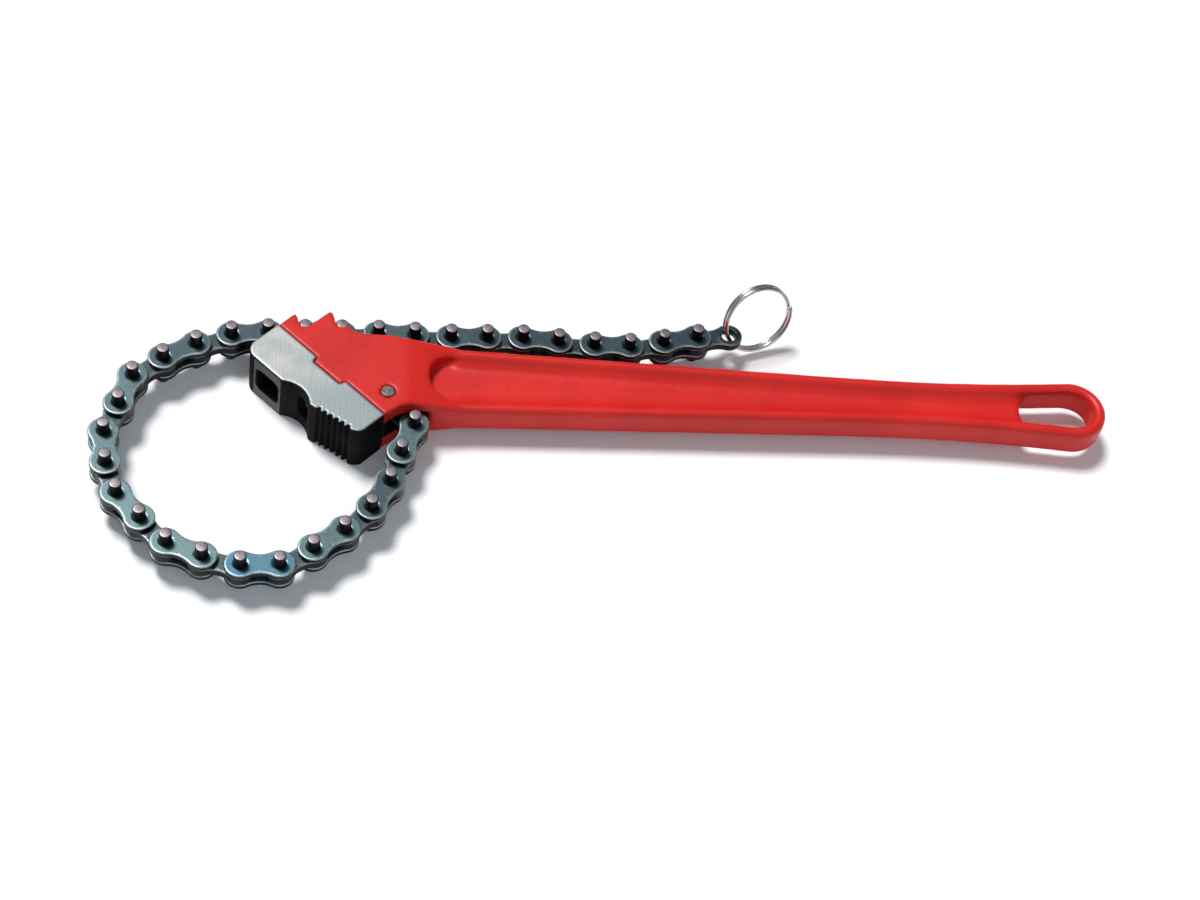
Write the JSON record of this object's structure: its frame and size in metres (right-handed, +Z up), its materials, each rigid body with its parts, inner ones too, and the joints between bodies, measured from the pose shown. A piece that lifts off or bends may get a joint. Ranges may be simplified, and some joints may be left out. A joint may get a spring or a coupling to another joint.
{
  "type": "chain pipe wrench",
  "caption": "Chain pipe wrench with a red I-section handle, a toothed black jaw and a leaf chain hooked into a loop, with a split ring on its free end.",
  "frame": {"origin": "on the anchor pin's axis, on the plane of the head's lower face, which the wrench lies on", "axes": "+X along the handle to its eye, +Y to the back edge where the chain hooks, +Z up through the head's width"},
  "size_m": [0.3573, 0.1256, 0.0281],
  "materials": {
    "red_paint": "semi-gloss red enamel on a cast handle",
    "jaw_steel": "black oxide with ground side faces",
    "chain_steel": "blued steel, bright along the edges",
    "pin_steel": "bare cut pin ends",
    "nickel": "nickel plate"
  },
  "bodies": {
    "frame": {"handle": "red_paint", "jaw": "jaw_steel", "anchor_pin": "pin_steel"},
    "link_01": {"inner_link_01": "chain_steel"},
    "link_02": {"outer_plates_01": "chain_steel", "link_pins_01": "pin_steel"},
    "link_03": {"inner_link_02": "chain_steel"},
    "link_04": {"outer_plates_02": "chain_steel", "link_pins_02": "pin_steel"},
    "link_05": {"inner_link_03": "chain_steel"},
    "link_06": {"outer_plates_03": "chain_steel", "link_pins_03": "pin_steel"},
    "link_07": {"inner_link_04": "chain_steel"},
    "link_08": {"outer_plates_04": "chain_steel", "link_pins_04": "pin_steel"},
    "link_09": {"inner_link_05": "chain_steel"},
    "link_10": {"outer_plates_05": "chain_steel", "link_pins_05": "pin_steel"},
    "link_11": {"inner_link_06": "chain_steel"},
    "link_12": {"outer_plates_06": "chain_steel", "link_pins_06": "pin_steel"},
    "link_13": {"inner_link_07": "chain_steel"},
    "link_14": {"outer_plates_07": "chain_steel", "link_pins_07": "pin_steel"},
    "link_15": {"inner_link_08": "chain_steel"},
    "link_16": {"outer_plates_08": "chain_steel", "link_pins_08": "pin_steel"},
    "link_17": {"inner_link_09": "chain_steel"},
    "link_18": {"outer_plates_09": "chain_steel", "link_pins_09": "pin_steel"},
    "link_19": {"inner_link_10": "chain_steel"},
    "link_20": {"outer_plates_10": "chain_steel", "link_pins_10": "pin_steel"},
    "link_21": {"inner_link_11": "chain_steel"},
    "link_22": {"outer_plates_11": "chain_steel", "link_pins_11": "pin_steel"},
    "link_23": {"inner_link_12": "chain_steel"},
    "link_24": {"outer_plates_12": "chain_steel", "link_pins_12": "pin_steel"},
    "link_25": {"inner_link_13": "chain_steel"},
    "link_26": {"outer_plates_13": "chain_steel", "link_pins_13": "pin_steel"},
    "link_27": {"inner_link_14": "chain_steel"},
    "link_28": {"outer_plates_14": "chain_steel", "link_pins_14": "pin_steel"},
    "link_29": {"inner_link_15": "chain_steel"},
    "link_30": {"outer_plates_15": "chain_steel", "link_pins_15": "pin_steel"},
    "link_31": {"inner_link_16": "chain_steel"},
    "link_32": {"outer_plates_16": "chain_steel", "link_pins_16": "pin_steel"},
    "link_33": {"inner_link_17": "chain_steel"},
    "ring": {"split_ring": "nickel"}
  },
  "joints": [
    {"name": "anchor_hinge", "type": "hinge", "parent": "frame", "child": "link_01", "pos_m": [0, 0, 0.01], "axis": [0, 0, 1], "range_deg": [-7, 7]},
    {"name": "hinge_02", "type": "hinge", "parent": "link_01", "child": "link_02", "pos_m": [0.00944, -0.0085, 0.01], "axis": [0, 0, 1], "range_deg": [-4.5, 4.5]},
    {"name": "hinge_03", "type": "hinge", "parent": "link_02", "child": "link_03", "pos_m": [0.0051, -0.02043, 0.01], "axis": [0, 0, 1], "range_deg": [-5.67, 5.67]},
    {"name": "hinge_04", "type": "hinge", "parent": "link_03", "child": "link_04", "pos_m": [0.00138, -0.03258, 0.01], "axis": [0, 0, 1], "range_deg": [-2.46, 2.46]},
    {"name": "hinge_05", "type": "hinge", "parent": "link_04", "child": "link_05", "pos_m": [-0.00479, -0.04368, 0.01], "axis": [0, 0, 1], "range_deg": [-2.46, 2.46]},
    {"name": "hinge_06", "type": "hinge", "parent": "link_05", "child": "link_06", "pos_m": [-0.01347, -0.05295, 0.01], "axis": [0, 0, 1], "range_deg": [-2.46, 2.46]},
    {"name": "hinge_07", "type": "hinge", "parent": "link_06", "child": "link_07", "pos_m": [-0.0235, -0.06074, 0.01], "axis": [0, 0, 1], "range_deg": [-2.46, 2.46]},
    {"name": "hinge_08", "type": "hinge", "parent": "link_07", "child": "link_08", "pos_m": [-0.03417, -0.06762, 0.01], "axis": [0, 0, 1], "range_deg": [-2.46, 2.46]},
    {"name": "hinge_09", "type": "hinge", "parent": "link_08", "child": "link_09", "pos_m": [-0.04686, -0.06824, 0.01], "axis": [0, 0, 1], "range_deg": [-2.46, 2.46]},
    {"name": "hinge_10", "type": "hinge", "parent": "link_09", "child": "link_10", "pos_m": [-0.05922, -0.06532, 0.01], "axis": [0, 0, 1], "range_deg": [-2.46, 2.46]},
    {"name": "hinge_11", "type": "hinge", "parent": "link_10", "child": "link_11", "pos_m": [-0.07097, -0.0605, 0.01], "axis": [0, 0, 1], "range_deg": [-2.46, 2.46]},
    {"name": "hinge_12", "type": "hinge", "parent": "link_11", "child": "link_12", "pos_m": [-0.07989, -0.05146, 0.01], "axis": [0, 0, 1], "range_deg": [-4.23, 4.23]},
    {"name": "hinge_13", "type": "hinge", "parent": "link_12", "child": "link_13", "pos_m": [-0.08816, -0.04182, 0.01], "axis": [0, 0, 1], "range_deg": [-3.91, 3.91]},
    {"name": "hinge_14", "type": "hinge", "parent": "link_13", "child": "link_14", "pos_m": [-0.09241, -0.02985, 0.01], "axis": [0, 0, 1], "range_deg": [-4.76, 4.76]},
    {"name": "hinge_15", "type": "hinge", "parent": "link_14", "child": "link_15", "pos_m": [-0.09385, -0.01724, 0.01], "axis": [0, 0, 1], "range_deg": [-3.87, 3.87]},
    {"name": "hinge_16", "type": "hinge", "parent": "link_15", "child": "link_16", "pos_m": [-0.08982, -0.00519, 0.01], "axis": [0, 0, 1], "range_deg": [-2.46, 2.46]},
    {"name": "hinge_17", "type": "hinge", "parent": "link_16", "child": "link_17", "pos_m": [-0.08599, 0.00692, 0.01], "axis": [0, 0, 1], "range_deg": [-2.52, 2.52]},
    {"name": "hinge_18", "type": "hinge", "parent": "link_17", "child": "link_18", "pos_m": [-0.07631, 0.01515, 0.01], "axis": [0, 0, 1], "range_deg": [-3.17, 3.17]},
    {"name": "hinge_19", "type": "hinge", "parent": "link_18", "child": "link_19", "pos_m": [-0.06547, 0.02175, 0.01], "axis": [0, 0, 1], "range_deg": [-3.48, 3.48]},
    {"name": "hinge_20", "type": "hinge", "parent": "link_19", "child": "link_20", "pos_m": [-0.05372, 0.02658, 0.01], "axis": [0, 0, 1], "range_deg": [-3.31, 3.31]},
    {"name": "hinge_21", "type": "hinge", "parent": "link_20", "child": "link_21", "pos_m": [-0.04115, 0.0284, 0.01], "axis": [0, 0, 1], "range_deg": [-2.46, 2.46]},
    {"name": "hinge_22", "type": "hinge", "parent": "frame", "child": "link_22", "pos_m": [-0.02846, 0.0289, 0.01], "axis": [0, 0, -1], "range_deg": [-30, 0]},
    {"name": "hinge_23", "type": "hinge", "parent": "link_22", "child": "link_23", "pos_m": [-0.01578, 0.02956, 0.01], "axis": [0, 0, 1], "range_deg": [0, 40]},
    {"name": "hinge_24", "type": "hinge", "parent": "link_23", "child": "link_24", "pos_m": [-0.0031, 0.03023, 0.01], "axis": [0, 0, -1], "range_deg": [-40, 0]},
    {"name": "hinge_25", "type": "hinge", "parent": "link_24", "child": "link_25", "pos_m": [0.0096, 0.03023, 0.01], "axis": [0, 0, 1], "range_deg": [0, 40]},
    {"name": "hinge_26", "type": "hinge", "parent": "link_25", "child": "link_26", "pos_m": [0.0223, 0.03023, 0.01], "axis": [0, 0, -1], "range_deg": [-40, 0]},
    {"name": "hinge_27", "type": "hinge", "parent": "link_26", "child": "link_27", "pos_m": [0.03498, 0.03089, 0.01], "axis": [0, 0, 1], "range_deg": [0, 40]},
    {"name": "hinge_28", "type": "hinge", "parent": "link_27", "child": "link_28", "pos_m": [0.04767, 0.03156, 0.01], "axis": [0, 0, -1], "range_deg": [-40, 0]},
    {"name": "hinge_29", "type": "hinge", "parent": "link_28", "child": "link_29", "pos_m": [0.06034, 0.03067, 0.01], "axis": [0, 0, 1], "range_deg": [0, 40]},
    {"name": "hinge_30", "type": "hinge", "parent": "link_29", "child": "link_30", "pos_m": [0.07302, 0.03001, 0.01], "axis": [0, 0, -1], "range_deg": [-40, 0]},
    {"name": "hinge_31", "type": "hinge", "parent": "link_30", "child": "link_31", "pos_m": [0.08572, 0.03023, 0.01], "axis": [0, 0, 1], "range_deg": [0, 40]},
    {"name": "hinge_32", "type": "hinge", "parent": "link_31", "child": "link_32", "pos_m": [0.09814, 0.03287, 0.01], "axis": [0, 0, -1], "range_deg": [-40, 0]},
    {"name": "hinge_33", "type": "hinge", "parent": "link_32", "child": "link_33", "pos_m": [0.11046, 0.03594, 0.01], "axis": [0, 0, 1], "range_deg": [0, 40]},
    {"name": "ring_swing", "type": "hinge", "parent": "link_33", "child": "ring", "pos_m": [0.12279, 0.03902, 0.01], "axis": [0, 0, 1], "range_deg": [-50, 50]}
  ],
  "couplings": [
    {"joint": "hinge_02", "follows": "anchor_hinge", "ratio": 0.641},
    {"joint": "hinge_03", "follows": "anchor_hinge", "ratio": 0.809},
    {"joint": "hinge_04", "follows": "anchor_hinge", "ratio": -0.35},
    {"joint": "hinge_05", "follows": "anchor_hinge", "ratio": -0.35},
    {"joint": "hinge_06", "follows": "anchor_hinge", "ratio": -0.35},
    {"joint": "hinge_07", "follows": "anchor_hinge", "ratio": -0.35},
    {"joint": "hinge_08", "follows": "anchor_hinge", "ratio": -0.35},
    {"joint": "hinge_09", "follows": "anchor_hinge", "ratio": -0.35},
    {"joint": "hinge_10", "follows": "anchor_hinge", "ratio": -0.35},
    {"joint": "hinge_11", "follows": "anchor_hinge", "ratio": -0.35},
    {"joint": "hinge_12", "follows": "anchor_hinge", "ratio": 0.603},
    {"joint": "hinge_13", "follows": "anchor_hinge", "ratio": 0.557},
    {"joint": "hinge_14", "follows": "anchor_hinge", "ratio": 0.678},
    {"joint": "hinge_15", "follows": "anchor_hinge", "ratio": 0.552},
    {"joint": "hinge_16", "follows": "anchor_hinge", "ratio": 0.35},
    {"joint": "hinge_17", "follows": "anchor_hinge", "ratio": -0.358},
    {"joint": "hinge_18", "follows": "anchor_hinge", "ratio": -0.452},
    {"joint": "hinge_19", "follows": "anchor_hinge", "ratio": -0.495},
    {"joint": "hinge_20", "follows": "anchor_hinge", "ratio": -0.471},
    {"joint": "hinge_21", "follows": "anchor_hinge", "ratio": -0.35}
  ]
}
